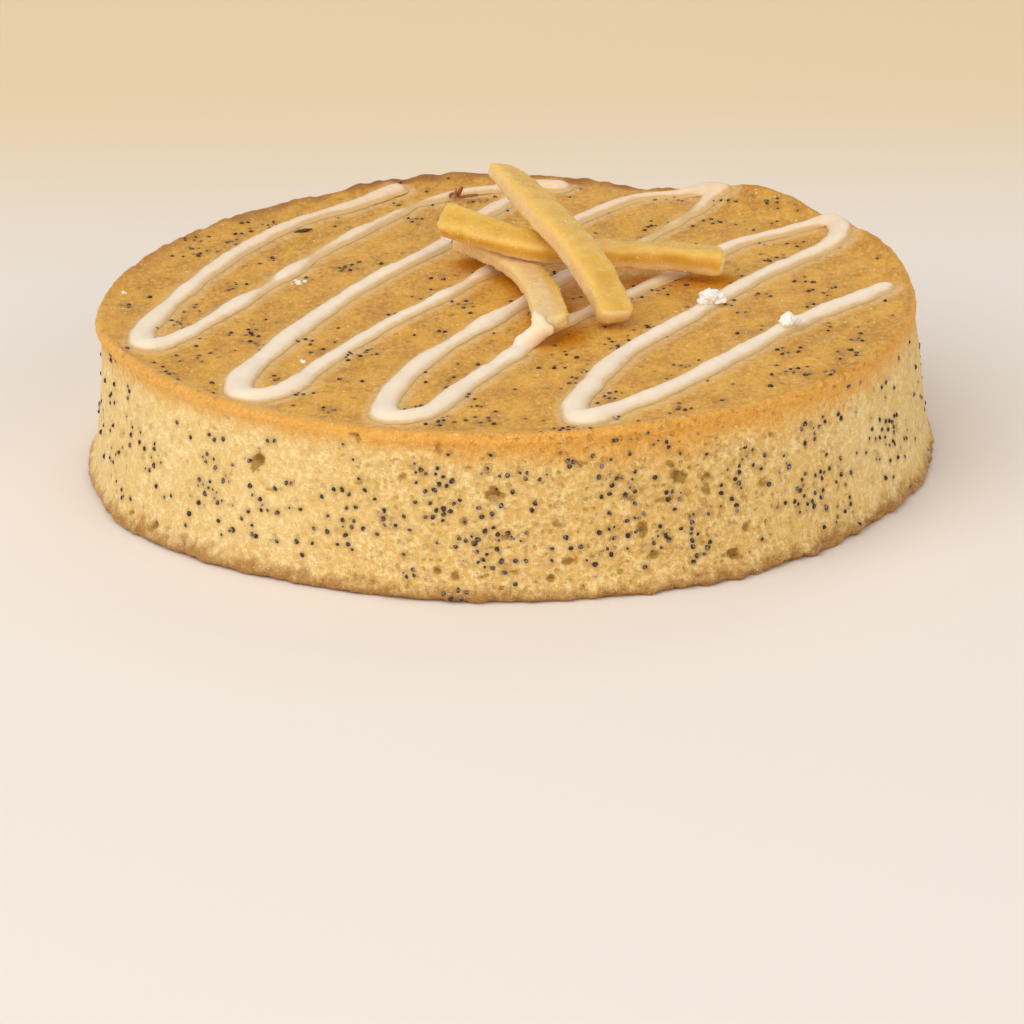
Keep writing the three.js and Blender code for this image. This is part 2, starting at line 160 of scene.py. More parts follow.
# The peel strips: middle line in millimetres, then width, thickness and roll in degrees at even shares of
# the length, the side of the section that the rind is on, in degrees round the line, how much each end
# slants across its width and its thickness, and how far its edge is rounded.
PEEL_STRIPS = {
    "peel_strip_curved": {
        "line": [
            (-10.4, 31.8, 41.8), (-4.9, 24.6, 41.8), (2, 13, 41.8), (6.7, -1.8, 41.8), (8.7, -15, 41.8),
            (9.6, -25.9, 41.8), (9.6, -33.4, 41.9),
        ],
        "width": (7.6, 7.6, 7.8, 8), "thickness": (4, 4), "roll": (0, 0, 4, 10), "rind": 200,
        "cuts": ((0, 0), (0.25, 0.2)), "round": (1.2, 2.4),
    },
    "peel_strip_long": {
        "line": [
            (-15, 25.3, 49.5), (-8.7, 20.3, 48.9), (1.5, 12.4, 47.8), (9.3, 9.3, 46.7), (22.7, 10.1, 44.9),
            (31.7, 11.6, 43.7), (38.5, 12.9, 42.9), (46.3, 11.7, 42.3), (50.8, 10.5, 42),
        ],
        "width": (8, 7.4, 7, 7, 7.2), "thickness": (5.4, 5.2, 5.2, 5.8, 6), "roll": (34, 26, 8, 2, 2),
        "rind": 72, "cuts": ((0.2, 0.1), (0.25, 0.1)), "round": (1.5, 1.5),
    },
    "peel_strip_leaning": {
        "line": [
            (24.9, -23.6, 40.1), (22.8, -16, 43.2), (20.1, -9.3, 46.5), (16.5, -1, 49.8), (11, 9.1, 53.2),
            (4.6, 23.8, 56.1), (-0.7, 35, 58.2),
        ],
        "width": (8.4, 9, 9.2, 8.8, 7.6), "thickness": (5.2, 5.6, 5.6, 5.4, 4), "roll": (4, 6, 8, 10, 14),
        "rind": 58, "cuts": ((0.12, -0.3), (-0.3, 0.1)), "round": (1.9, 1.6),
    },
}

# A strip's section: how square it is, 2 being round, and how far its corners stand out, 1 being round.
SQUARENESS = 4.4
FULL_CORNER = 2 ** (1 - 1 / SQUARENESS) / 2**0.5

# The share of a strip that each end's cut shapes, and half the end's width in millimetres.
END_SHARE = 0.14
END_HALF = 3.6

# The floor in metres: its radius, and how far it lies below the foot.
FLOOR_RADIUS = 6.0
FLOOR_BELOW = 0.05 * MM

# The camera, in millimetres and degrees: its lens on its sensor, how far it stands from the point it
# looks at, how high, how it is rolled, and that point.
LENS = 193.47
SENSOR = 36
CAMERA_AWAY = 1309.5
CAMERA_ELEVATION = 20.6
CAMERA_ROLL = 1.28
CAMERA_AIM = (-0.23, 0, -15.89)

# How far the camera sees, in metres.
CAMERA_REACH = 50.0


def shade(red, green, blue):
    """A colour given as the screen shows it, 0 to 255, turned into the linear values a shader takes."""
    linear = []
    for value in (red / 255, green / 255, blue / 255):
        linear.append(value / 12.92 if value <= 0.04045 else ((value + 0.055) / 1.055) ** 2.4)
    return tuple(linear)


def amount_of(label, default, text, unit="LENGTH"):
    return FloatProperty(name=label, description=text, default=default, min=0.0, unit=unit, precision=5)


def colour_of(label, default, text):
    return FloatVectorProperty(
        name=label, description=text, default=default, size=3, min=0.0, max=1.0, subtype="COLOR"
    )


def count_of(label, default, text):
    return IntProperty(name=label, description=text, default=default, min=0)


class SpongeSettings(PropertyGroup):
    """The sponge's fineness, relief and colours."""

    segments: count_of("Segments", 940, "Steps in which the outline is turned round")
    triangles: count_of("Triangles", 197000, "Triangles left after thinning")
    relief: amount_of("Crumb relief", 0.24 * MM, "How far the crumb stands in and out")
    small_pores: count_of("Small pores", 170, "Open pores scattered over the side")
    pale: colour_of("Pale crumb", shade(255, 232, 172), "Dry, light crumb")
    moist: colour_of("Moist crumb", shade(222, 177, 96), "Darker, see-through crumb")
    browned: colour_of("Browned band", shade(238, 172, 66), "Crust just under the rim")
    foot: colour_of("Foot crust", shade(178, 127, 64), "Crust along the foot")
    # The pore colour is painted shade, inside the pores and pits.
    pore: colour_of("Pore", shade(164, 118, 42), "Inside the open pores")
    top_light: colour_of("Light top", shade(232, 171, 58), "Light patches of the top crust")
    top_dark: colour_of("Dark top", shade(202, 138, 36), "Brown patches of the top crust")
    rim: colour_of("Rim crust", shade(158, 100, 44), "Darker crust along the back of the rim")


class SeedSettings(PropertyGroup):
    """Size, number and colours of the poppy seeds."""

    length: amount_of("Length", 1.3 * MM, "Length of a seed")
    side_count: count_of("Seeds in the side", 800, "Seeds that show in the side")
    top_count: count_of("Seeds in the top", 800, "Seeds that show in the top")
    dark: colour_of("Dark", shade(50, 32, 25), "Dark seed coat")
    # The bloom is painted palest on each seed's crown, partly a painted highlight.
    bloom: colour_of("Bloom", shade(164, 138, 132), "Grey bloom on the raised net of the coat")


class IcingSettings(PropertyGroup):
    """Thickness, fineness and colours of the icing."""

    rise: amount_of("Rise", 0.31, "Height as a share of the width", "NONE")
    voxel: amount_of("Voxel", 0.42 * MM, "Fineness at which the pours are melted together")
    white: colour_of("Icing", shade(255, 231, 207), "Set icing")
    crumb: colour_of("Crumb", shade(255, 250, 240), "Broken, dry icing")


class PeelSettings(PropertyGroup):
    """Colours of the candied peel."""

    rind: colour_of("Rind", shade(225, 180, 76), "Yellow outside of the peel")
    pith: colour_of("Pith", shade(234, 202, 150), "Pale inside of the peel")
    grains: count_of("Sugar grains", 1200, "Grains of sugar that stick to the strips")


class StageSettings(PropertyGroup):
    """Floor and light."""

    floor: colour_of("Floor", shade(244, 235, 227), "Plain pale floor")
    key: amount_of("Key light", 14.4, "Strength of the main soft light", "POWER")
    fill: amount_of("Fill light", 11.3, "Strength of the soft light opposite", "POWER")
    sky: amount_of("Sky", 0.47, "Strength of the light from all round", "NONE")


def part_way(t, start, end, first, second):
    """The value at t on the straight way from first, at start, to second, at end."""
    return first + (second - first) * (t - start) / (end - start)


def smooth_rows(rows, spacing):
    """Rows about spacing apart along a smooth line through the given rows; other columns follow along."""
    rows = np.array(rows, dtype=float)
    ends = np.vstack([2 * rows[0] - rows[1], rows, 2 * rows[-1] - rows[-2]])
    knots = np.zeros(len(ends))
    for i in range(1, len(ends)):
        knots[i] = knots[i - 1] + max(np.linalg.norm(ends[i] - ends[i - 1]) ** 0.5, 1e-9)
    fine = []
    for i in range(1, len(ends) - 2):
        p0, p1, p2, p3 = ends[i - 1 : i + 3]
        t0, t1, t2, t3 = knots[i - 1 : i + 3]
        for t in np.linspace(t1, t2, 24, endpoint=False):
            a = part_way(t, t0, t1, p0, p1)
            b = part_way(t, t1, t2, p1, p2)
            c = part_way(t, t2, t3, p2, p3)
            d = part_way(t, t0, t2, a, b)
            e = part_way(t, t1, t3, b, c)
            fine.append(part_way(t, t1, t2, d, e))
    fine = np.array(fine + [rows[-1]])
    gone = np.concatenate([[0], np.cumsum(np.linalg.norm(np.diff(fine, axis=0), axis=1))])
    steps = np.linspace(0, gone[-1], max(2, round(gone[-1] / spacing) + 1))
    return np.column_stack([np.interp(steps, gone, column) for column in fine.T])


def smoothstep(value, low, high):
    """A smooth rise from 0 to 1 while the value goes from low to high."""
    t = np.clip((value - low) / (high - low), 0, 1)
    return t * t * (3 - 2 * t)


def bell(value, middle, width):
    """1 at the middle, falling softly to 0 on both sides of it."""
    return np.exp(-(((value - middle) / width) ** 2))


def bumps_at(bumps, angle):
    """The sum of soft bumps round the cake at the given angles, in metres."""
    total = np.zeros_like(angle)
    for centre, size, half_width in bumps:
        away = (angle - math.radians(centre) + math.pi) % (2 * math.pi) - math.pi
        total += size * MM * bell(away, 0, math.radians(half_width))
    return total


def wall_wave(angle, z):
    """How far the side stands out of its smooth form."""
    slow = np.sin(3 * angle + 0.8) + 0.7 * np.sin(7 * angle + 1.9)
    return WALL_WAVE * (slow + 0.6 * np.sin(11 * angle + 0.4) * np.sin(z / (6 * MM)))


def on_wall(angle, z):
    """A place on the plain side, from an angle in degrees and a height in millimetres."""
    a = math.radians(angle)
    return WALL * math.cos(a), WALL * math.sin(a), z * MM


def round_axis(rows):
    """Each place's distance from the upright axis, its angle round it and its height."""
    return np.hypot(rows[:, 0], rows[:, 1]), np.arctan2(rows[:, 1], rows[:, 0]), rows[:, 2]


def tree_of(rows):
    """A finder of the nearest of many places."""
    tree = KDTree(len(rows))
    for i, row in enumerate(rows):
        tree.insert(row, i)
    tree.balance()
    return tree


def places(mesh):
    """The mesh's vertex places as rows of numbers."""
    rows = np.empty(len(mesh.vertices) * 3)
    mesh.vertices.foreach_get("co", rows)
    return rows.reshape(-1, 3)


def outward(mesh):
    """The mesh's vertex normals as rows of numbers."""
    rows = np.empty(len(mesh.vertices) * 3)
    mesh.vertex_normals.foreach_get("vector", rows)
    return rows.reshape(-1, 3)


def move_to(mesh, rows):
    mesh.vertices.foreach_set("co", rows.ravel())
    mesh.update()


def grain(rows, size, shift):
    """Smooth noise between about -1 and 1 at each place, with features of the given size."""
    step = Vector((shift, 2.3 * shift, -1.7 * shift))
    return np.array([noise.noise(Vector(row) / size + step) for row in rows])


def paint(mesh, name, values):
    """Keeps one number for each vertex, for the material to read."""
    attribute = mesh.attributes.new(name, "FLOAT", "POINT")
    attribute.data.foreach_set("value", np.asarray(values, dtype=np.float32))


def mesh_from(bm, name):
    """A mesh made of a bmesh that is then done with."""
    mesh = bpy.data.meshes.new(name)
    bm.to_mesh(mesh)
    bm.free()
    return mesh


def shade_smooth(mesh):
    mesh.polygons.foreach_set("use_smooth", [True] * len(mesh.polygons))


def piece_from(bm, name, material):
    """A finished piece that rides on the cake, smooth shaded, in one material."""
    mesh = mesh_from(bm, name)
    shade_smooth(mesh)
    mesh.materials.append(material)
    piece = bpy.data.objects.new(name, mesh)
    bpy.context.scene.collection.objects.link(piece)
    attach(piece, "root")
    return piece


def bake_modifiers(piece):
    """Turns a piece's modifiers into its mesh, smooth shaded again."""
    bpy.context.view_layer.update()
    graph = bpy.context.evaluated_depsgraph_get()
    mesh = bpy.data.meshes.new_from_object(piece.evaluated_get(graph), depsgraph=graph)
    piece.modifiers.clear()
    old = piece.data
    piece.data = mesh
    bpy.data.meshes.remove(old)
    mesh.name = piece.name
    shade_smooth(mesh)


class Recipe:
    """A material whose nodes are added one by one."""

    def __init__(self, name):
        self.material = bpy.data.materials.new(name)
        self.material.use_nodes = True
        self.tree = self.material.node_tree
        self.tree.nodes.clear()
        self.place = self.add("ShaderNodeTexCoord").outputs["Object"]

    def add(self, kind, settings=None, sockets=None, **inputs):
        """A node with its settings, and its inputs given by number or by name."""
        node = self.tree.nodes.new(kind)
        for key, value in (settings or {}).items():
            setattr(node, key, value)
        named = {key.replace("_", " "): value for key, value in inputs.items()}
        for key, value in {**(sockets or {}), **named}.items():
            self.set(node.inputs[key], value)
        return node

    def set(self, socket, value):
        if isinstance(value, bpy.types.NodeSocket):
            self.tree.links.new(value, socket)
        else:
            socket.default_value = (*value[:3], 1.0) if socket.type == "RGBA" else value

    def maths(self, kind, first, second):
        return self.add("ShaderNodeMath", {"operation": kind}, {0: first, 1: second}).outputs[0]

    def plus(self, first, second):
        return self.maths("ADD", first, second)

    def less(self, first, second):
        return self.maths("SUBTRACT", first, second)

    def times(self, first, *others):
        for other in others:
            first = self.maths("MULTIPLY", first, other)
        return first

    def vector(self, kind, first, second):
        return self.add("ShaderNodeVectorMath", {"operation": kind}, {0: first, 1: second}).outputs[0]

    def spread(self, value, low, high, start=0.0, end=1.0):
        """A smooth rise from start to end while the value goes from low to high."""
        return self.add(
            "ShaderNodeMapRange", {"interpolation_type": "SMOOTHSTEP"},
            Value=value, From_Min=low, From_Max=high, To_Min=start, To_Max=end,
        ).outputs["Result"]

    def uneven(self, value, pattern, amount):
        """A value made uneven by a pattern that lies round 0.5."""
        return self.plus(value, self.times(self.less(pattern, 0.5), amount))

    def painted(self, name):
        return self.add("ShaderNodeAttribute", {"attribute_name": name}).outputs["Fac"]

    def behind(self):
        """How far towards the back each place lies."""
        return self.add("ShaderNodeSeparateXYZ", Vector=self.place).outputs["Y"]

    def noise(self, size, detail=2.0, rough=0.5, warp=0.0, place=None, output="Fac"):
        inputs = {"Scale": 1 / size, "Detail": detail, "Roughness": rough, "Distortion": warp}
        return self.add("ShaderNodeTexNoise", Vector=place or self.place, **inputs).outputs[output]

    def bent(self, size, reach):
        """The place pushed about by noise, so that cells read at it turn ragged."""
        push = self.vector("MULTIPLY", self.noise(size, output="Color"), (reach, reach, reach))
        return self.vector("ADD", self.place, push)

    def cells(self, size, place=None):
        """The distance from the middle of round cells, about 0.6 at their edges."""
        node = self.add("ShaderNodeTexVoronoi", Vector=place or self.place, Scale=1 / size)
        return node.outputs["Distance"]

    def spots(self, apart, radius, share, place):
        """Spots in a share of the cells of a given size: 1 inside a spot and 0 outside."""
        node = self.add("ShaderNodeTexVoronoi", Vector=place, Scale=1 / apart)
        pick = self.add("ShaderNodeSeparateColor", Color=node.outputs["Color"]).outputs[0]
        inside = self.spread(node.outputs["Distance"], radius / apart, 0.72 * radius / apart)
        return self.times(inside, self.spread(pick, 1 - share, 1.02 - share))

    def mix(self, share, first, second):
        return self.add("ShaderNodeMix", {"data_type": "RGBA"}, {0: share, 6: first, 7: second}).outputs[2]

    def layers(self, colour, *tints):
        """The colour with tints laid over it in turn, each by its share."""
        for share, tint in tints:
            colour = self.mix(share, colour, tint)
        return colour

    def bump(self, height, distance, strength, under=None):
        inputs = {"Normal": under} if under else {}
        node = self.add("ShaderNodeBump", Height=height, Distance=distance, Strength=strength, **inputs)
        return node.outputs["Normal"]

    def surface(self, soft=None, **inputs):
        """Ends the recipe. Soft is how much light goes in, how far each colour does, and in which unit."""
        for key, value in zip(("Weight", "Radius", "Scale"), soft or ()):
            inputs[f"Subsurface_{key}"] = value
        node = self.add("ShaderNodeBsdfPrincipled", {"subsurface_method": "RANDOM_WALK"}, **inputs)
        self.add("ShaderNodeOutputMaterial", Surface=node.outputs["BSDF"])
        return self.material


class SpongeRecipe(Recipe):
    """The sponge's recipe, with the patterns that its crumb and its crust share."""

    def __init__(self):
        super().__init__("lemon sponge")
        ragged = self.bent(0.7 * MM, 1.1 * MM)
        self.open_crumb = self.painted("coarse")
        self.grains = self.noise(1.2 * MM, detail=3, rough=0.76)
        self.fine = self.noise(0.42 * MM, detail=1)
        # Painted highlights: rare bright specks where the crumb would catch the light.
        self.glints = self.spread(self.fine, 0.66, 0.74)
        self.bubbles = self.spread(self.cells(1.7 * MM, ragged), 0.1, 0.62)
        self.pits = self.times(self.spots(1.9 * MM, 0.5 * MM, 0.45, ragged), self.open_crumb)
        self.tears = self.times(self.spots(3.6 * MM, 1.0 * MM, 0.35, ragged), self.open_crumb)
        self.buried = self.spots(3.1 * MM, 0.8 * MM, 0.36, ragged)


def crumb_colour(r, s):
    """Porous crumb, browned under the rim and along the foot, with buried seeds; painted shade in its
    hollows, pits, pores and round seeds; painted glints and lip highlight.
    """
    lumps = r.noise(3.2 * MM, detail=3, rough=0.6)
    patches = r.noise(12 * MM)
    even = r.times(r.less(1.0, r.open_crumb), 0.62)
    hollow = r.times(r.less(1.0, r.bubbles), r.times(r.open_crumb, 0.4))
    bake = r.uneven(r.painted("bake"), lumps, 0.7)
    browning = r.mix(r.spread(r.grains, 0.38, 0.62), shade(228, 158, 56), s.browned)
    foot = r.uneven(r.painted("foot"), lumps, 1.2)
    bottom = r.mix(r.spread(r.grains, 0.36, 0.64), shade(160, 110, 50), s.foot)
    # Painted shade in the pores, darkest where they are deepest.
    pore = r.uneven(r.painted("pore"), r.grains, 1.6)
    deep = r.mix(r.painted("deep"), shade(204, 160, 76), s.pore)
    return r.layers(
        s.moist,
        (r.maths("MAXIMUM", r.spread(r.grains, 0.4, 0.6), even), s.pale),
        (r.spread(lumps, 0.42, 0.66, 0.0, 0.45), s.moist),
        (r.spread(patches, 0.4, 0.62, 0.0, 0.3), shade(232, 194, 112)),
        (r.times(r.open_crumb, 0.28), shade(224, 174, 82)),
        # Painted shade in the hollows of the crumb's cells.
        (hollow, shade(198, 150, 66)),
        (r.spread(bake, 0.0, 0.9, 0.0, 0.85), browning),
        (r.spread(foot, 0.2, 1.0, 0.0, 0.9), bottom),
        # Painted shade in the torn hollows, the pits and the pores.
        (r.times(r.tears, 0.4), shade(190, 140, 62)),
        (r.times(r.pits, 0.6), s.pore),
        (r.spread(pore, 0.15, 0.9, 0.0, 0.9), deep),
        (r.times(r.buried, 0.3), shade(124, 96, 80)),
        # A brown stain round each seed, with painted shade in the gap round it.
        (r.times(r.painted("stain"), 0.5), shade(150, 104, 50)),
        # Painted highlight: bright glint specks over the crumb.
        (r.times(r.glints, 0.6), shade(255, 246, 208)),
        # Painted highlight along the front of the lip, broken up by the grains.
        (r.times(r.painted("crease"), r.spread(r.grains, 0.44, 0.6)), shade(255, 218, 168)),
    )


def crust_colour(r, s):
    """Mottled golden crust, darker along the back of the rim, paler by the icing; painted shade round seeds
    and under the peel, painted glints.
    """
    drawn = r.vector("MULTIPLY", r.place, (1.0, 0.55, 1.0))
    mottle = r.noise(6.5 * MM, detail=4, rough=0.66, place=drawn)
    specks = r.noise(1.1 * MM, detail=3, rough=0.7, place=drawn)
    painted_sparkles = r.spots(2.3 * MM, 0.36 * MM, 0.3, r.bent(0.5 * MM, 0.6 * MM))
    patchy = r.spread(r.noise(1.8 * MM), 0.36, 0.6, 0.3, 0.7)
    return r.layers(
        s.top_dark,
        (r.spread(mottle, 0.32, 0.66), s.top_light),
        (r.spread(specks, 0.46, 0.66, 0.0, 0.5), shade(242, 200, 116)),
        (r.spread(specks, 0.44, 0.32, 0.0, 0.4), shade(188, 130, 44)),
        (r.times(r.buried, 0.4), shade(116, 90, 66)),
        # A brown stain round each seed, with painted shade in the gap round it.
        (r.times(r.painted("stain"), 0.5), shade(132, 88, 40)),
        # Painted highlight: glints and sparkles over the crust.
        (r.maths("MAXIMUM", r.times(r.glints, 0.6), painted_sparkles), shade(252, 228, 170)),
        (r.painted("edge"), s.rim),
        (r.times(r.painted("iced"), patchy), shade(238, 200, 142)),
        # Painted shade: deep yellow under and beside the lying peel, for the shade it casts and the yellow
        # light it lets through.
        (r.times(r.painted("soaked"), 0.66), shade(206, 128, 14)),
    )


def sponge_material(s):
    """Crumb below and crust above, rough like foam, and least shiny in the painted shade under the peel."""
    r = SpongeRecipe()
    top = r.painted("top")
    foam = r.plus(r.grains, r.times(r.bubbles, r.times(r.open_crumb, 0.5)))
    normal = r.bump(foam, 0.7 * MM, 0.8)
    normal = r.bump(r.fine, 0.2 * MM, 0.7, normal)
    normal = r.bump(r.plus(r.pits, r.tears), -0.6 * MM, 0.7, normal)
    dull = r.spread(r.grains, 0.3, 0.7, 0.7, 0.5)
    gloss = r.spread(r.noise(2.4 * MM), 0.35, 0.65, 0.4, 0.6)
    rough = r.add("ShaderNodeMix", {"data_type": "FLOAT"}, {0: top, 2: dull, 3: gloss}).outputs[0]
    # Less shine in the painted shade under the peel, so that it stays deep.
    shine = r.times(r.less(1.0, r.painted("soaked")), 0.3)
    return r.surface(
        (0.3, (1.0, 0.7, 0.3), 1.6 * MM), Base_Color=r.mix(top, crumb_colour(r, s), crust_colour(r, s)),
        Roughness=rough, Normal=normal, Specular_IOR_Level=shine,
    )


def seed_material(s):
    """A dark coat with a grey net over it, palest on the crown, where the grey is partly a painted highlight.
    """
    r = Recipe("poppy seed coat")
    net = r.cells(0.4 * MM)
    bloom = r.times(
        r.spread(r.painted("crown"), 0.1, 0.9), r.spread(r.noise(3.5 * MM), 0.4, 0.6, 0.3, 1.0),
        r.spread(r.noise(0.7 * MM, detail=1), 0.44, 0.6), r.spread(net, 0.1, 0.6, 0.5, 1.0),
    )
    normal = r.bump(net, 0.1 * MM, 0.6)
    colour = r.mix(bloom, s.dark, s.bloom)
    return r.surface(Base_Color=colour, Roughness=0.5, Normal=normal, Specular_IOR_Level=0.4)


def icing_material(s):
    """Set icing: warm white, satin, clear enough at its thin edges for the crust to show through, with
    painted shade towards the back.
    """
    r = Recipe("set lemon icing")
    thin = r.uneven(r.painted("thin"), r.noise(1.6 * MM), 0.35)
    # Painted shade: more of the crust's colour towards the back.
    thin = r.plus(thin, r.spread(r.behind(), -0.03, 0.09, 0.0, 0.46))
    colour = r.layers(
        s.white,
        (r.spread(r.noise(4 * MM), 0.35, 0.65, 0.0, 0.35), shade(250, 222, 190)),
        (r.spread(thin, 0.1, 0.98, 0.0, 0.9), shade(224, 178, 106)),
        # Painted light: yellower under and beside the lying peel, for the yellow light it lets through.
        (r.times(r.painted("soaked"), 0.25), shade(255, 216, 150)),
    )
    normal = r.bump(r.noise(2.2 * MM), 0.2 * MM, 0.3)
    normal = r.bump(r.noise(0.5 * MM, detail=1), 0.04 * MM, 0.4, normal)
    return r.surface(
        (0.7, (1.0, 0.88, 0.74), 1.8 * MM), Base_Color=colour, Roughness=0.46, Normal=normal,
        Specular_IOR_Level=0.34,
    )


def dry_icing_material(s):
    """Broken bits of dry icing."""
    r = Recipe("dry icing crumb")
    normal = r.bump(r.noise(0.8 * MM), 0.2 * MM, 0.4)
    tone = r.mix(r.spread(r.noise(1.2 * MM), 0.5, 0.8), s.crumb, s.white)
    return r.surface((0.5, (1.0, 0.8, 0.6), 1 * MM), Base_Color=tone, Roughness=0.6, Normal=normal)


def fleck_material():
    """Dark, dry curls of browned peel and husk."""
    r = Recipe("browned fleck")
    colour = r.layers(
        shade(176, 102, 44),
        (r.painted("husk"), shade(38, 26, 20)),
        (r.spread(r.noise(0.6 * MM), 0.4, 0.7, 0.0, 0.5), shade(124, 68, 30)),
    )
    normal = r.bump(r.noise(0.5 * MM, detail=3), 0.12 * MM, 0.6)
    return r.surface(Base_Color=colour, Roughness=0.5, Normal=normal)


def peel_material(s):
    """Candied peel: clear yellow rind, pale stringy pith, a thin sugar coat with painted highlights in fine
    light specks.
    """
    r = Recipe("candied lemon peel")
    strings = r.noise(1.7 * MM, detail=3, rough=0.55, warp=0.3)
    fine = r.noise(0.9 * MM, detail=1)
    pith = r.mix(r.spread(strings, 0.34, 0.66), shade(230, 192, 132), s.pith)
    rind = r.mix(r.spread(r.noise(4.5 * MM), 0.38, 0.66), s.rind, shade(218, 170, 62))
    colour = r.layers(
        pith,
        (r.spread(r.uneven(r.painted("rind"), strings, 0.16), 0.36, 0.66), rind),
        # Painted highlights: fine light specks over the sugar coat.
        (r.spread(fine, 0.6, 0.76, 0.0, 0.3), shade(250, 224, 150)),
        (r.times(r.painted("rim"), 0.35), shade(244, 206, 124)),
    )
    normal = r.bump(strings, 0.16 * MM, 0.1)
    normal = r.bump(fine, 0.04 * MM, 0.2, normal)
    rough = r.spread(r.noise(1.2 * MM, detail=1), 0.35, 0.7, 0.34, 0.5)
    return r.surface(
        (0.95, (1.0, 0.95, 0.72), 3.8 * MM), Base_Color=colour, Roughness=rough, Normal=normal,
        Specular_IOR_Level=0.34,
    )


def sugar_material():
    """White grains of sugar."""
    r = Recipe("sugar grain")
    colour = r.mix(r.noise(1 * MM), shade(255, 244, 214), shade(252, 226, 170))
    return r.surface(Base_Color=colour, Roughness=0.3, Specular_IOR_Level=0.6)


def floor_material(s):
    """A plain pale floor that turns warmer far behind the cake."""
    r = Recipe("pale floor")
    colour = r.mix(r.spread(r.behind(), 0.11, 0.32), s.floor, shade(243, 220, 182))
    return r.surface(Base_Color=colour, Roughness=0.85, Specular_IOR_Level=0.2)


def turned_sponge(s):
    """The sponge's outline turned round the upright axis, fine enough to take the crumb's relief."""
    flat, top = SIDE_OUTLINE[-1]
    under = [(r, 0) for r in np.linspace(0, SIDE_OUTLINE[0][0], UNDER_RINGS)[:-1]]
    side = smooth_rows(SIDE_OUTLINE, SIDE_STEP).tolist()
    over = [(r, top) for r in np.linspace(flat, 0, round(flat / TOP_STEP))[1:]]
    chain = under + side + over
    bm = bmesh.new()
    bmesh.ops.create_grid(bm, x_segments=s.segments, y_segments=len(chain) - 1, size=1.0)
    for v in bm.verts:
        radius, z = chain[round((v.co.y + 1) / 2 * (len(chain) - 1))]
        angle = math.pi * v.co.x
        v.co = Vector((radius * math.cos(angle), radius * math.sin(angle), z)) * MM
    bmesh.ops.remove_doubles(bm, verts=bm.verts, dist=1e-6)
    bmesh.ops.recalc_face_normals(bm, faces=bm.faces)
    return bm


def edge_shares(radius, z):
    """How far up the side each place lies, and how far out from the flat of the top, both 0 to 1."""
    return np.clip(z / LIP_TOP, 0, 1), smoothstep(radius, 80 * MM, 94.4 * MM)


def shape_sponge(rows):
    """Makes the rim, the foot and the side as uneven as the real cake's."""
    radius, angle, z = round_axis(rows)
    up, outer = edge_shares(radius, z)
    swell = outer * (bumps_at(FOOT_BULGES, angle) * (1 - up) ** 2 + bumps_at(RIM_BULGES, angle) * up**3)
    swell += outer * 4 * up * (1 - up) * wall_wave(angle, z)
    grown = np.where(radius > 0, (radius + swell) / np.maximum(radius, 1e-9), 1)
    lift = up**4 * outer * bumps_at(RIM_LIFTS, angle)
    return np.column_stack([rows[:, 0] * grown, rows[:, 1] * grown, np.maximum(z + lift, 0)])


def coarseness(rows):
    """How open the crumb is round the side: coarse at the front, finer at the left and right."""
    angle = np.degrees(round_axis(rows)[1])
    open_parts = bell(angle, OPEN_SIDE, 32) + 0.6 * bell(angle, 60, 40)
    return np.clip(0.2 + 0.8 * open_parts + 0.25 * grain(rows, 20 * MM, 5), 0.08, 1)


def pore_list(s):
    """The pores as angle, height, width, tallness and depth, the large ones first."""
    draw = random.Random(71)
    rows = list(LARGE_PORES)
    while len(rows) < len(LARGE_PORES) + s.small_pores:
        angle = draw.uniform(-180, 180)
        z = draw.uniform(2, 35)
        if draw.random() > coarseness(np.array([on_wall(angle, z)]))[0]:
            continue
        size = 1 + 1.4 * draw.random() ** 3
        rows.append((angle, z, size * draw.uniform(0.9, 1.8), size * draw.uniform(0.7, 1.1), size * 0.5))
    return rows


def pore_shares(rows, pores):
    """How far inside a pore each vertex lies, 0 to 1, and how deep that pore is, in metres."""
    tree = tree_of(rows)
    inside = np.zeros(len(rows))
    depth = np.zeros(len(rows))
    for angle, z, wide, tall, deep in pores:
        a = math.radians(angle)
        flat = Vector((-math.sin(a), math.cos(a), 0))
        middle, _, _ = tree.find(on_wall(angle, z))
        for place, i, _ in tree.find_range(middle, 0.75 * max(wide, tall) * MM):
            aside = (place - middle) @ flat / (0.5 * wide * MM)
            above = (place.z - middle.z) / (0.5 * tall * MM)
            ragged = 0.6 * noise.noise(place / (1.3 * MM)) + 0.3 * noise.noise(place / (0.7 * MM))
            share = 1 - (math.hypot(aside, above) * (1 + ragged)) ** PORE_FLATNESS
            if share * deep * MM > depth[i]:
                inside[i] = share
                depth[i] = share * deep * MM
    return inside, depth


def zones(radius, z):
    """How much each place belongs to the side, the top, the lip and the foot, 0 to 1."""
    on_side = smoothstep(z, 0.5 * MM, 3 * MM) * smoothstep(z, LIP_TOP, 34 * MM)
    on_top = smoothstep(z, 36.8 * MM, 37.2 * MM) * smoothstep(radius, 94 * MM, 90 * MM)
    on_lip = smoothstep(radius, 91 * MM, 93.6 * MM) * smoothstep(z, 34 * MM, 37 * MM)
    on_foot = smoothstep(radius, 96 * MM, 98 * MM) * smoothstep(z, 4.5 * MM, 2.2 * MM)
    return on_side * smoothstep(radius, 90 * MM, 94 * MM), on_top, on_lip, on_foot


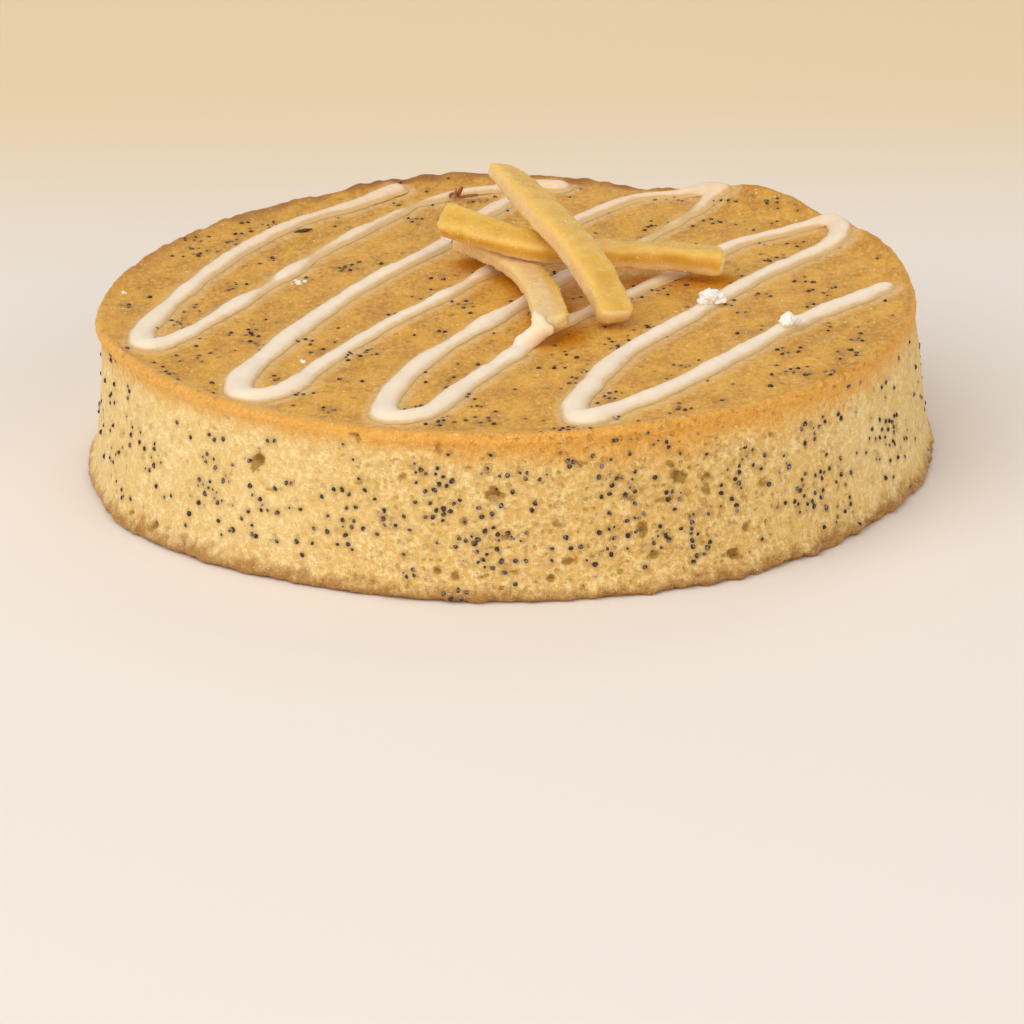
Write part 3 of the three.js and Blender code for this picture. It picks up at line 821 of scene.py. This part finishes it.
def relief(rows, normals, s):
    """Crumb relief on the side, ragged foot, stepped back rim, soft unevenness on the top."""
    radius, angle, z = round_axis(rows)
    on_side, on_top, on_lip, on_foot = zones(radius, z)
    fine = grain(rows, 1.4 * MM, 3)
    broad = grain(rows, 3.2 * MM, 9)
    slow = grain(rows, 14 * MM, 1)
    steps = grain(rows, 7 * MM, 21)
    push = on_side * (0.25 + 0.75 * coarseness(rows)) * s.relief * (fine + 1.2 * broad)
    push += on_side * 0.25 * MM * slow
    push += on_top * (0.22 * MM * slow + 0.1 * MM * broad + 0.05 * MM * fine)
    push += on_lip * (0.14 * MM * steps + 0.1 * MM * broad + 0.1 * MM * fine)
    turning = np.column_stack([RIM * angle, z, radius])
    cracks = smoothstep(np.abs(grain(turning, 3.4 * MM, 14)), 0.16, 0.0)
    push -= on_lip * bell(angle, -0.55, 0.35) * 0.8 * MM * cracks
    ridge = bell(radius, 94.9 * MM, 0.55 * MM) * smoothstep(z, 36 * MM, 37 * MM)
    push += ridge * (0.24 * MM + 0.16 * MM * broad)
    broken = 0.4 + 0.8 * bell(angle, -0.75, 0.5)
    push += on_foot * broken * (1.1 * MM * steps + 1.1 * MM * broad + 0.6 * MM * fine)
    back = bell(angle, 1.8, 1.1)
    lift = on_lip * back * (0.34 * MM * np.tanh(5 * grain(rows, 12 * MM, 8)) + 0.26 * MM * np.tanh(5 * steps))
    lift += on_lip * back * 0.14 * MM * np.tanh(4 * broad)
    lift += on_lip * (1 - back) * 0.14 * MM * steps
    moved = rows + normals * push[:, None]
    moved[:, 2] = np.maximum(moved[:, 2] + lift, 0)
    moved[z < 1e-6, 2] = 0
    return moved


def paint_sponge(mesh, pores):
    """Numbers for the material: crust on top, browning, foot, dark back edge, a painted highlight along the
    front lip, openness and pores.
    """
    rows = places(mesh)
    radius, angle, z = round_axis(rows)
    up, outer = edge_shares(radius, z)
    z = z - outer * bumps_at(RIM_LIFTS, angle) * up**4
    radius = radius - outer * bumps_at(RIM_BULGES, angle) * up**3
    wave = grain(rows, 11 * MM, 2)
    rim = RIM - bumps_at(BAND_INWARD, angle)
    top = smoothstep(radius, rim + 0.5 * MM, rim - 0.4 * MM) * smoothstep(z, 36.2 * MM, 36.7 * MM)
    paint(mesh, "top", top)
    reach = (10 + 2.4 * wave) * MM + bumps_at(BAND_TALLER, angle)
    paint(mesh, "bake", np.clip(1.1 - (LIP_TOP - z) / reach, 0, 1))
    tall = 2.8 + 0.9 * wave + 1.4 * bell(angle, -2.3, 0.5) + 1.4 * bell(angle, -0.4, 0.4)
    paint(mesh, "foot", np.clip(1.2 - z / (1.4 * np.maximum(tall, 0.7) * MM), 0, 1))
    back = bell(angle, 1.75, 1.15)
    patch = np.clip(0.5 + 1.1 * grain(rows, 8 * MM, 31), 0, 1)
    crest = smoothstep(radius, (93.6 - 5 * patch * back) * MM, RIM)
    inward = 0.18 * back * smoothstep(radius, 84 * MM, 93 * MM)
    paint(mesh, "edge", crest * (0.08 + (0.35 + 0.6 * patch) * back) + inward)
    # Painted highlight: a thin light line along the front of the lip, where it catches the light.
    lip = bell(radius, rim, 0.5 * MM) * smoothstep(z, 36.8 * MM, 37.1 * MM)
    paint(mesh, "crease", bell(angle, -1.9, 0.85) * lip)
    paint(mesh, "coarse", coarseness(rows) * (1 - top))
    inside, depth = pore_shares(rows, pores)
    paint(mesh, "pore", np.clip(inside * 1.6, 0, 1))
    paint(mesh, "deep", np.clip(depth / (1.2 * MM), 0, 1))


class CAKE_OT_sponge(Operator):
    """Turns the sponge, makes it uneven, opens its pores and colours it"""

    bl_idname = "cake.sponge"
    bl_label = "Sponge"

    def execute(self, context):
        s = context.scene.cake_sponge
        pores = pore_list(s)
        piece = piece_from(turned_sponge(s), "sponge", sponge_material(s))
        mesh = piece.data
        rows = shape_sponge(places(mesh))
        move_to(mesh, rows)
        rows = relief(rows, outward(mesh), s)
        move_to(mesh, rows)
        _, depth = pore_shares(rows, pores)
        move_to(mesh, rows - outward(mesh) * depth[:, None])
        triangles = sum(len(face.vertices) - 2 for face in mesh.polygons)
        thin = piece.modifiers.new("thin", "DECIMATE")
        thin.ratio = min(1.0, s.triangles / triangles)
        bake_modifiers(piece)
        paint_sponge(piece.data, pores)
        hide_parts("cake")
        return {"FINISHED"}


def stain_and_shade_round(seeds, reach):
    """Darkens the sponge a little round each seed: a brown stain, with painted shade in the gap round the
    seed.
    """
    mesh = bpy.data.objects["sponge"].data
    tree = tree_of(places(mesh))
    stain = np.zeros(len(mesh.vertices))
    for middle, _ in seeds:
        for _, i, away in tree.find_range(middle, reach):
            stain[i] = max(stain[i], 1 - away / reach)
    paint(mesh, "stain", stain)


def paint_near(names, label, pieces, shift, near, far):
    """Paints meshes with 1 near the pieces and 0 far off, read at a shifted place; heights count less."""
    flat = (1, 1, 0.4)
    tree = tree_of(np.vstack([places(piece.data) for piece in pieces]) * flat)
    for name in names:
        mesh = bpy.data.objects[name].data
        away = np.array([tree.find(row)[2] for row in places(mesh) * flat + (*shift, 0)])
        paint(mesh, label, smoothstep(away, far, near))


def surface_finder(name):
    """A finder of places on a finished piece."""
    mesh = bpy.data.objects[name].data
    triangles = [tuple(face.vertices) for face in mesh.polygons]
    return BVHTree.FromPolygons([v.co.copy() for v in mesh.vertices], triangles)


def on_top(finder, x, y):
    """The place and normal straight below a point over the top."""
    place, normal, _, _ = finder.ray_cast(Vector((x, y, 60 * MM)), Vector((0, 0, -1)))
    if place is None:
        raise RuntimeError(f"nothing lies below {x:.4f}, {y:.4f}")
    return place, normal


def round_top(finder, radius, angle):
    """The place and normal on the top, at a distance from its middle and an angle round it."""
    radius = min(radius, 94 * MM)
    return on_top(finder, radius * math.cos(angle), radius * math.sin(angle))


def on_side(finder, angle, z):
    """The place and normal on the side at an angle and height."""
    out = Vector((math.cos(angle), math.sin(angle), 0))
    place, normal, _, _ = finder.ray_cast(out * 150 * MM + Vector((0, 0, z)), -out)
    if place is None:
        raise RuntimeError(f"the side isn't met at {angle:.3f}, {z:.4f}")
    return place, normal


def above_top(finder, x, y, height):
    """The place at a height above a point of the top, each given in millimetres."""
    return on_top(finder, x * MM, y * MM)[0] + Vector((0, 0, height * MM))


def add_copy(bm, template, matrix):
    """Adds a copy of the template, placed by the matrix."""
    copy = template.copy()
    copy.transform(matrix)
    bm.from_mesh(copy)
    bpy.data.meshes.remove(copy)


def seed_template(length):
    """One kidney-shaped seed of few faces."""
    bm = bmesh.new()
    bmesh.ops.create_icosphere(bm, subdivisions=2, radius=0.5)
    for v in bm.verts:
        v.co = Vector((v.co.x * length, v.co.y * 0.9 * length, v.co.z * 0.8 * length))
        v.co.y += 0.12 * length * (2 * v.co.x / length) ** 2 - 0.04 * length
    return mesh_from(bm, "seed template")


def side_seed(draw):
    """An angle and a height on the side, more often where the crumb is open at the front."""
    while True:
        angle = draw.uniform(-math.pi, math.pi)
        front = math.exp(-(((math.degrees(angle) - OPEN_SIDE) / 36) ** 2))
        if draw.random() < 0.55 + 0.45 * front:
            return angle, draw.triangular(1.2, 36.5, 16) * MM


def beside_side_seed(draw, angle, z):
    return angle + draw.gauss(0, 0.026), min(max(z + draw.gauss(0, 2) * MM, 1.2 * MM), 36 * MM)


def top_seed(draw):
    """A distance from the middle of the top and an angle round it, as often in any part of it."""
    return 93.5 * MM * math.sqrt(draw.random()), draw.uniform(-math.pi, math.pi)


def beside_top_seed(draw, radius, angle):
    return abs(radius + draw.gauss(0, 1.9) * MM), angle + draw.gauss(0, 2.1) * MM / max(radius, 8 * MM)


def spread_out(draw, count, pick, near, lies_at, apart, grouped):
    """Seed places as place and normal: most alone, many in small clusters, none closer than apart."""
    found = []
    kept = {}

    def crowded(place):
        cell = [math.floor(value / apart) for value in place]
        for step in itertools.product((-1, 0, 1), repeat=3):
            for other in kept.get(tuple(map(sum, zip(cell, step))), ()):
                if (other - place).length < apart:
                    return True
        kept.setdefault(tuple(cell), []).append(place)
        return False

    while len(found) < count:
        group = [pick(draw)]
        if draw.random() < grouped:
            group += [near(draw, *group[0]) for _ in range(draw.randint(2, 8))]
        for pair in group:
            place, normal = lies_at(*pair)
            if not crowded(place):
                found.append((place, normal))
    return found[:count]


class CAKE_OT_seeds(Operator):
    """Sets poppy seeds into the side and the top of the sponge"""

    bl_idname = "cake.seeds"
    bl_label = "Poppy seeds"

    def execute(self, context):
        s = context.scene.cake_seeds
        finder = surface_finder("sponge")
        template = seed_template(s.length)
        material = seed_material(s)
        draw = random.Random(29)
        side_at = functools.partial(on_side, finder)
        side = spread_out(draw, s.side_count, side_seed, beside_side_seed, side_at, 0.86 * s.length, 0.22)
        self.join(draw, template, side, "poppy_seeds_side", material, (-0.02, 0.33), s.length, 1)
        top_at = functools.partial(round_top, finder)
        top = spread_out(draw, s.top_count, top_seed, beside_top_seed, top_at, 0.8 * s.length, 0.45)
        self.join(draw, template, top, "poppy_seeds_top", material, (-0.02, 0.34), s.length, 0.92)
        # A stain with painted shade round every seed, on the sponge.
        stain_and_shade_round(side + top, 1.5 * MM)
        bpy.data.meshes.remove(template)
        return {"FINISHED"}

    @staticmethod
    def join(draw, template, seeds, name, material, sink, length, small):
        """One piece of many seeds, each turned, sized and sunk at random."""
        bm = bmesh.new()
        for place, normal in seeds:
            long = draw.uniform(0.8, 1.12) * small
            size = (long, long * draw.uniform(0.76, 1.04), long * draw.uniform(0.85, 1.05), 1)
            middle = Matrix.Translation(place - normal * (draw.uniform(*sink) * length))
            facing = normal.to_track_quat("Z", "Y").to_matrix().to_4x4()
            spin = Matrix.Rotation(draw.uniform(0, 2 * math.pi), 4, "Z")
            add_copy(bm, template, middle @ facing @ spin @ Matrix.Diagonal(size))
        piece = piece_from(bm, name, material)
        # Each seed's crown, which the material paints palest, partly as a painted highlight.
        tallest = max(v.co.z for v in template.vertices)
        crowns = [max(0.0, v.co.z) / tallest for v in template.vertices]
        paint(piece.data, "crown", np.tile(crowns, len(seeds)))


class CAKE_OT_icing(Operator):
    """Pours the icing over the top in a zigzag and melts the pours together"""

    bl_idname = "cake.icing"
    bl_label = "Icing"

    def execute(self, context):
        s = context.scene.cake_icing
        finder = surface_finder("sponge")
        piece = piece_from(self.pour(finder, s.rise), "icing_drizzle", icing_material(s))
        self.melt(piece, s.voxel)
        mesh = piece.data
        rows = places(mesh)
        wave = 0.1 * MM * grain(rows, 2.6 * MM, 4) + 0.03 * MM * grain(rows, 0.9 * MM, 6)
        move_to(mesh, rows + outward(mesh) * wave[:, None])
        heights = np.array([z - on_top(finder, x, y)[0].z for x, y, z in places(mesh)])
        paint(mesh, "thin", np.clip(1 - (heights - 0.1 * MM) / (0.9 * MM), 0, 1))
        paint_near(("sponge",), "iced", [piece], (-0.4 * MM, 0.9 * MM), 0.4 * MM, 2.3 * MM)
        crumbs = bmesh.new()
        draw = random.Random(5)
        for x, y, size, height in ICING_CRUMBS:
            self.crumb(crumbs, draw, above_top(finder, x, y, height), size * MM)
        piece_from(crumbs, "icing_crumbs", dry_icing_material(s))
        return {"FINISHED"}

    @staticmethod
    def pour(finder, rise):
        """Drops of icing along every pour, each over a wider and flatter one, and those of the spur."""
        drop = bmesh.new()
        bmesh.ops.create_icosphere(drop, subdivisions=3, radius=0.5)
        template = mesh_from(drop, "drop template")
        bm = bmesh.new()
        for rows in POURS:
            for x, y, width in smooth_rows(rows, 0.7):
                beat = 0.24 * noise.noise(Vector((x, y, 0)) / 9) + 0.08 * noise.noise(Vector((x, y, 9)) / 3)
                wide = 0.86 * width * (1 + beat) * MM
                under = wide + ICING_HEM
                place, _ = on_top(finder, x * MM, y * MM)
                for across, up, ahead in ((wide, 2 * rise * wide, 0), (under, HEM_HEIGHT, HEM_AHEAD)):
                    middle = Matrix.Translation(place - Vector((0, ahead, 0)))
                    add_copy(bm, template, middle @ Matrix.Diagonal((across, across, up, 1)))
        for x, y, height, size in ICING_SPUR:
            middle = Matrix.Translation(above_top(finder, x, y, height))
            add_copy(bm, template, middle @ Matrix.Scale(size * MM, 4))
        bpy.data.meshes.remove(template)
        return bm

    @staticmethod
    def melt(piece, voxel):
        """Melts the drops into one soft skin."""
        skin = piece.modifiers.new("skin", "REMESH")
        skin.mode = "VOXEL"
        skin.voxel_size = voxel
        even = piece.modifiers.new("even", "SMOOTH")
        even.factor = 0.5
        even.iterations = 12
        thin = piece.modifiers.new("thin", "DECIMATE")
        thin.ratio = 0.6
        bake_modifiers(piece)

    @staticmethod
    def crumb(bm, draw, middle, size):
        """A broken lump of dry icing."""
        made = bmesh.ops.create_icosphere(bm, subdivisions=4 if size > 2 * MM else 3, radius=0.5 * size)
        shift = Vector([draw.uniform(0, 50) for _ in range(3)])
        for v in made["verts"]:
            broken = 0.5 * noise.noise(v.co / (0.34 * size) + shift)
            rough = 0.18 * noise.noise(v.co / (0.12 * size) + shift)
            v.co = v.co * (1 + broken + rough)
            v.co.z *= 0.8
            v.co += middle


class CAKE_OT_flecks(Operator):
    """Lays a browned curl, a dark husk and a few loose crumbs on the cake"""

    bl_idname = "cake.flecks"
    bl_label = "Flecks"

    def execute(self, context):
        finder = surface_finder("sponge")
        bm = bmesh.new()
        husk = []
        for x, y, length, wide, tall, turn, dark in FLECKS:
            place, _ = on_top(finder, x * MM, y * MM)
            raised = Vector((0, 0, 0.35 * tall * MM + (0 if dark > 0.5 else FLECK_RAISED)))
            turned = Matrix.Rotation(math.radians(turn), 4, "Z")
            made = bmesh.ops.create_icosphere(bm, subdivisions=3, radius=0.5)
            for v in made["verts"]:
                pointed = wide * (1 - 0.7 * abs(2 * v.co.x) ** 1.5)
                bent = Vector((v.co.x * length, v.co.y * pointed, v.co.z * tall)) * MM
                bent.z += 0.35 * tall * MM * math.sin(3 * v.co.x)
                bent *= 1 + 0.35 * noise.noise(bent / (0.8 * MM) + Vector((x, y, 0)))
                v.co = turned @ bent + place + raised
            husk += [dark] * len(made["verts"])
        piece = piece_from(bm, "browned_flecks", fleck_material())
        paint(piece.data, "husk", husk)
        return {"FINISHED"}


def at_share(values, share):
    """A value read at a share of the way along evenly spaced ones."""
    return float(np.interp(share, np.linspace(0, 1, len(values)), values))


def end_reach(shape, last, body, tight, aside, above):
    """How far a strip's end stands out from a plain cut: slanted, domed and rounded at its edge."""
    cut = shape["cuts"][last]
    edge = shape["round"][last]
    near_end = max(0.0, 1 - min(body, 1 - body) / END_SHARE) ** 2
    inner = 1 - edge / END_HALF
    bend = min(1.0, max(0.0, tight - inner) / (1 - inner))
    beyond = near_end * (0.5 * (1 - tight) - edge * (1 - math.sqrt(1 - bend**2)))
    return near_end * (cut[0] * aside + cut[1] * above) + (beyond if last else -beyond)


def strip_surface(name, shape, along=170, around=48):
    """One strip of peel: a grid wrapped round its line, closed over both ends, with ragged edges."""
    rows = smooth_rows(shape["line"], 0.25)
    share_of_row = np.linspace(0, 1, len(rows))
    shift = Vector((sum(ord(letter) for letter in name), 0, 0))
    cap = 8 / along

    def on_line(share):
        return Vector([float(np.interp(share, share_of_row, column)) for column in rows.T])

    bm = bmesh.new()
    bmesh.ops.create_grid(bm, x_segments=along, y_segments=around, size=1.0)
    rind = bm.verts.layers.float.new("rind")
    rim = bm.verts.layers.float.new("rim")
    for v in bm.verts:
        share = (v.co.x + 1) / 2
        turn = math.pi * v.co.y
        last = share > 0.5
        body = min(max((share - cap) / (1 - 2 * cap), 0), 1)
        tight = math.sin(0.5 * math.pi * min(1.0, min(share, 1 - share) / cap)) ** 0.7
        ahead = (on_line(min(body + 0.01, 1)) - on_line(max(body - 0.01, 0))).normalized()
        across = ahead.cross(Vector((0, 0, 1))).normalized()
        across.rotate(Matrix.Rotation(math.radians(at_share(shape["roll"], body)), 3, ahead).to_quaternion())
        up = across.cross(ahead)
        square = (abs(math.cos(turn)) ** SQUARENESS + abs(math.sin(turn)) ** SQUARENESS) ** (-1 / SQUARENESS)
        aside = 0.5 * at_share(shape["width"], body) * tight * square * math.cos(turn)
        above = 0.5 * at_share(shape["thickness"], body) * tight * square * math.sin(turn)
        place = on_line(body) + across * aside + up * above
        place += ahead * end_reach(shape, last, body, tight, aside, above)
        seat = place + shift
        ragged = 0.3 * noise.noise(seat / 5) + 0.22 * noise.noise(seat / 2.2) + 0.05 * noise.noise(seat / 1.1)
        corner = max(0.0, square - 1) / (FULL_CORNER - 1)
        ragged -= 0.35 * corner * max(0.0, noise.noise(seat / 1.5))
        out = (across * aside + up * above).normalized() if tight > 0.05 else ahead * (1 if last else -1)
        v.co = (place + out * ragged) * MM
        facing = 0.5 + 0.5 * math.cos(turn - math.radians(shape["rind"]))
        v[rind] = facing * (0.3 + 0.7 * smoothstep(tight, 0.8, 1))
        v[rim] = min(1.0, corner)
    bmesh.ops.remove_doubles(bm, verts=bm.verts, dist=0.02 * MM)
    bmesh.ops.recalc_face_normals(bm, faces=bm.faces)
    return bm


class CAKE_OT_peel(Operator):
    """Makes the strips of candied peel and the sugar that sticks to them, and paints their shade on the crust
    and the icing
    """

    bl_idname = "cake.peel"
    bl_label = "Candied peel"

    def execute(self, context):
        s = context.scene.cake_peel
        material = peel_material(s)
        draw = random.Random(17)
        grains = bmesh.new()
        strips = []
        for name, shape in PEEL_STRIPS.items():
            piece = piece_from(strip_surface(name, shape), f"candied_{name}", material)
            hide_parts(name)
            strips.append(piece)
            points = piece.data.vertices
            for _ in range(s.grains // len(PEEL_STRIPS)):
                point = points[draw.randrange(len(points))]
                size = (0.1 + 0.2 * draw.random() ** 3) * MM
                made = bmesh.ops.create_cube(grains, size=size)
                twist = Euler([draw.uniform(0, 3.1) for _ in range(3)]).to_matrix()
                for v in made["verts"]:
                    v.co = twist @ v.co + point.co + point.normal * 0.25 * size
        piece_from(grains, "sugar_grains", sugar_material())
        # Painted shade: the crust and the icing go deep yellow under the two lying strips and to the right of
        # and in front of them.
        lying = strips[:2]
        paint_near(("sponge", "icing_drizzle"), "soaked", lying, (-2 * MM, 1.2 * MM), 1 * MM, 4.4 * MM)
        return {"FINISHED"}


class CAKE_OT_stage(Operator):
    """Lays the floor, hangs the soft lights and sets up the camera"""

    bl_idname = "cake.stage"
    bl_label = "Stage"

    def execute(self, context):
        s = context.scene.cake_stage
        self.floor(context, s)
        world = bpy.data.worlds.new("soft room")
        world.use_nodes = True
        sky = world.node_tree.nodes["Background"]
        sky.inputs["Color"].default_value = (*shade(255, 253, 250), 1.0)
        sky.inputs["Strength"].default_value = s.sky
        context.scene.world = world
        context.scene.view_settings.view_transform = "Standard"
        for name, place, size, watts in (
            ("key", (-0.85, -0.6, 1.5), 1.7, s.key), ("side", (-1.5, -0.9, 0.5), 1.2, 0.48 * s.key),
            ("fill", (1.0, -1.5, 0.75), 1.3, s.fill), ("glints", (0.35, 1.2, 1.1), 0.6, 0.2 * s.fill),
        ):
            self.soft_light(name, place, size, watts)
        self.camera(context)
        return {"FINISHED"}

    @staticmethod
    def floor(context, s):
        """A wide round floor, just under the foot."""
        bm = bmesh.new()
        bmesh.ops.create_circle(bm, cap_ends=True, segments=96, radius=FLOOR_RADIUS)
        mesh = mesh_from(bm, "floor")
        mesh.transform(Matrix.Translation((0, 0, -FLOOR_BELOW)))
        mesh.materials.append(floor_material(s))
        floor = bpy.data.objects.new("floor", mesh)
        context.scene.collection.objects.link(floor)

    @staticmethod
    def soft_light(name, place, size, watts):
        """A square lamp that faces the cake."""
        light = bpy.data.lights.new(name, "AREA")
        light.size = size
        light.energy = watts
        light.color = shade(255, 252, 248)
        lamp = bpy.data.objects.new(name, light)
        lamp.location = place
        lamp.rotation_euler = Vector(place).to_track_quat("Z", "Y").to_euler()
        bpy.context.scene.collection.objects.link(lamp)

    @staticmethod
    def camera(context):
        """Sets the camera where the photograph was taken from."""
        elevation = math.radians(CAMERA_ELEVATION)
        roll = math.radians(CAMERA_ROLL)
        back = Vector((0, -math.cos(elevation), math.sin(elevation)))
        right = Vector((1, 0, 0))
        up = back.cross(right)
        aside = math.cos(roll) * right - math.sin(roll) * up
        above = math.sin(roll) * right + math.cos(roll) * up
        lens = bpy.data.cameras.new("camera")
        lens.lens = LENS
        lens.sensor_width = SENSOR
        lens.clip_end = CAMERA_REACH
        camera = bpy.data.objects.new("camera", lens)
        place = Vector(CAMERA_AIM) * MM + back * CAMERA_AWAY * MM
        turn = Matrix((aside, above, back)).transposed().to_4x4()
        camera.matrix_world = Matrix.Translation(place) @ turn
        context.scene.collection.objects.link(camera)
        context.scene.camera = camera


class CAKE_PT_panel(Panel):
    """Lists the cake's pieces and settings in the sidebar"""

    bl_idname = "CAKE_PT_panel"
    bl_label = "Lemon poppy seed cake"
    bl_space_type = "VIEW_3D"
    bl_region_type = "UI"
    bl_category = "Cake"

    def draw(self, context):
        for operator, group in PARTS:
            box = self.layout.box()
            box.operator(operator.bl_idname)
            if group:
                settings = getattr(context.scene, group)
                for key in settings.__annotations__:
                    box.prop(settings, key)


GROUPS = {
    "cake_sponge": SpongeSettings,
    "cake_seeds": SeedSettings,
    "cake_icing": IcingSettings,
    "cake_peel": PeelSettings,
    "cake_stage": StageSettings,
}
PARTS = [
    (CAKE_OT_sponge, "cake_sponge"), (CAKE_OT_seeds, "cake_seeds"), (CAKE_OT_icing, "cake_icing"),
    (CAKE_OT_flecks, None), (CAKE_OT_peel, "cake_peel"), (CAKE_OT_stage, "cake_stage"),
]
CLASSES = [*GROUPS.values(), *(operator for operator, _ in PARTS), CAKE_PT_panel]


def register():
    for kind in CLASSES:
        bpy.utils.register_class(kind)
    for name, group in GROUPS.items():
        setattr(bpy.types.Scene, name, PointerProperty(type=group))


def unregister():
    for name in GROUPS:
        delattr(bpy.types.Scene, name)
    for kind in reversed(CLASSES):
        bpy.utils.unregister_class(kind)


def main():
    """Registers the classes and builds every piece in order."""
    register()
    bpy.ops.cake.sponge()
    bpy.ops.cake.seeds()
    bpy.ops.cake.icing()
    bpy.ops.cake.flecks()
    bpy.ops.cake.peel()
    bpy.ops.cake.stage()
    bpy.context.view_layer.update()


if __name__ == "__main__":
    main()
